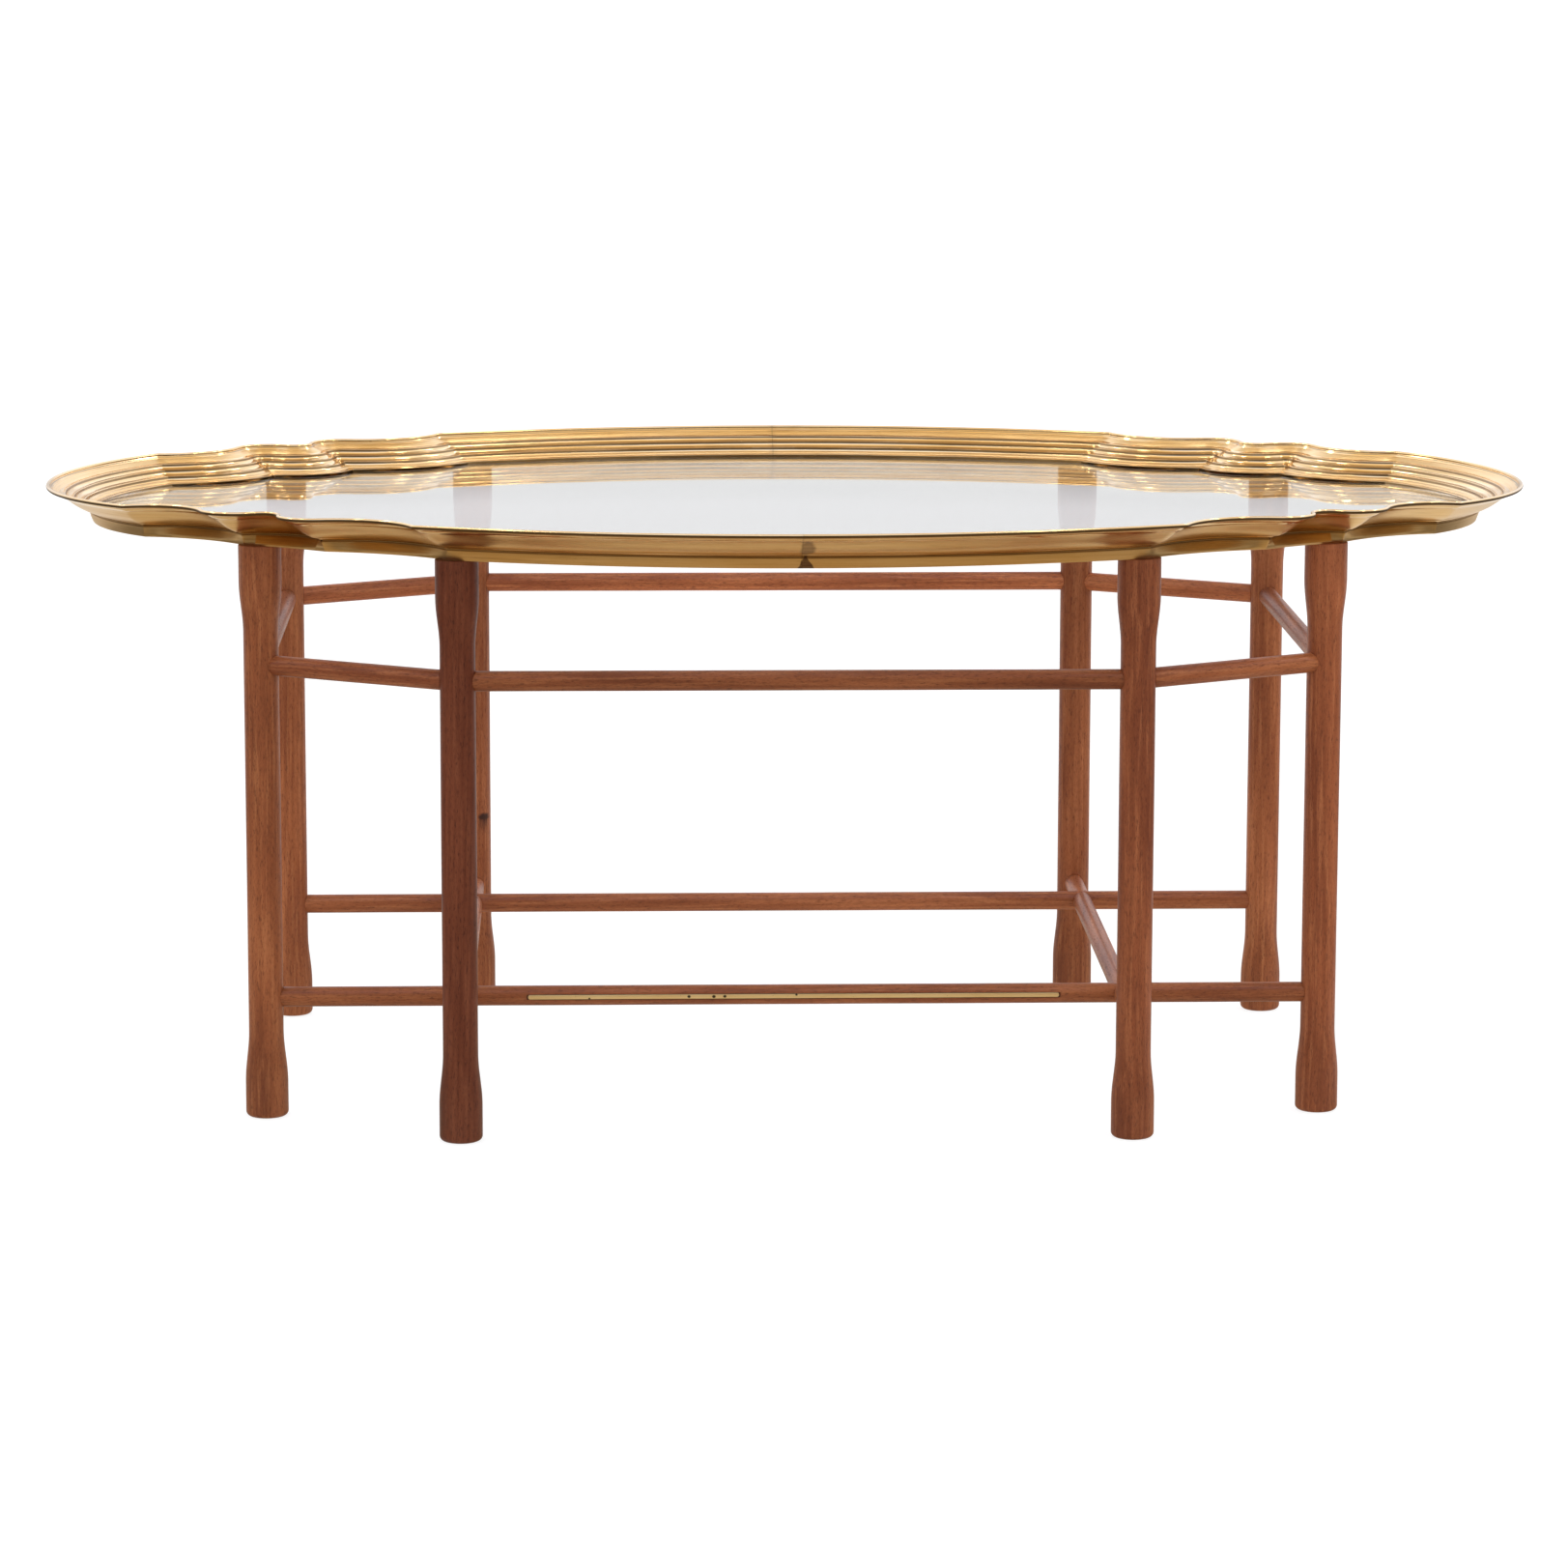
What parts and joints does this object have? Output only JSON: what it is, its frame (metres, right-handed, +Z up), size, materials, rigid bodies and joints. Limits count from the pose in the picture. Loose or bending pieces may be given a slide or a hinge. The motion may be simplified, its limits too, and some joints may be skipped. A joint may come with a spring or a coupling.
{
  "type": "tray-top coffee table",
  "caption": "Low coffee table: a loose tray with a scalloped, moulded brass frame and a flat glass panel, lying on a slender round-legged wooden stand joined by dowel stretchers.",
  "frame": {"origin": "middle of the footprint on the floor, bottom centre of the bounding box", "axes": "+X along the length, +Y to the back, +Z up; the inlaid stretcher is on the -Y side"},
  "size_m": [1.164, 0.736, 0.4722],
  "materials": {
    "wood_leg": "reddish-brown mahogany, satin varnish, fine dark pores",
    "wood_rail": "reddish-brown mahogany dowel, satin varnish",
    "brass_tray": "polished brass moulding with light tarnish and solder marks",
    "brass_strip": "flush brass inlay, dull polish, small dark pits",
    "glass": "clear float glass"
  },
  "bodies": {
    "stand": {"leg_front_inner_left": "wood_leg", "leg_front_inner_right": "wood_leg", "leg_front_outer_left": "wood_leg", "leg_front_outer_right": "wood_leg", "leg_back_inner_left": "wood_leg", "leg_back_inner_right": "wood_leg", "leg_back_outer_left": "wood_leg", "leg_back_outer_right": "wood_leg", "ring_rail_front": "wood_rail", "ring_rail_back": "wood_rail", "ring_rail_end_left": "wood_rail", "ring_rail_end_right": "wood_rail", "ring_rail_diagonal_front_left": "wood_rail", "ring_rail_diagonal_front_right": "wood_rail", "ring_rail_diagonal_back_left": "wood_rail", "ring_rail_diagonal_back_right": "wood_rail", "long_rail_front": "wood_rail", "long_rail_back": "wood_rail", "cross_rail_left": "wood_rail", "cross_rail_right": "wood_rail", "stub_rail_front_left": "wood_rail", "stub_rail_front_right": "wood_rail", "stub_rail_back_left": "wood_rail", "stub_rail_back_right": "wood_rail", "brass_inlay": "brass_strip"},
    "tray_frame": {"tray_rim_left": "brass_tray", "tray_rim_right": "brass_tray", "tray_ledge": "brass_tray"},
    "glass": {"glass_panel": "glass"}
  },
  "joints": [
    {"name": "tray_lift", "type": "slide", "parent": "stand", "child": "tray_frame", "axis": [0, 0, 1], "range_m": [0, 0.15]},
    {"name": "glass_lift", "type": "slide", "parent": "tray_frame", "child": "glass", "axis": [0, 0, 1], "range_m": [0, 0.1]}
  ]
}
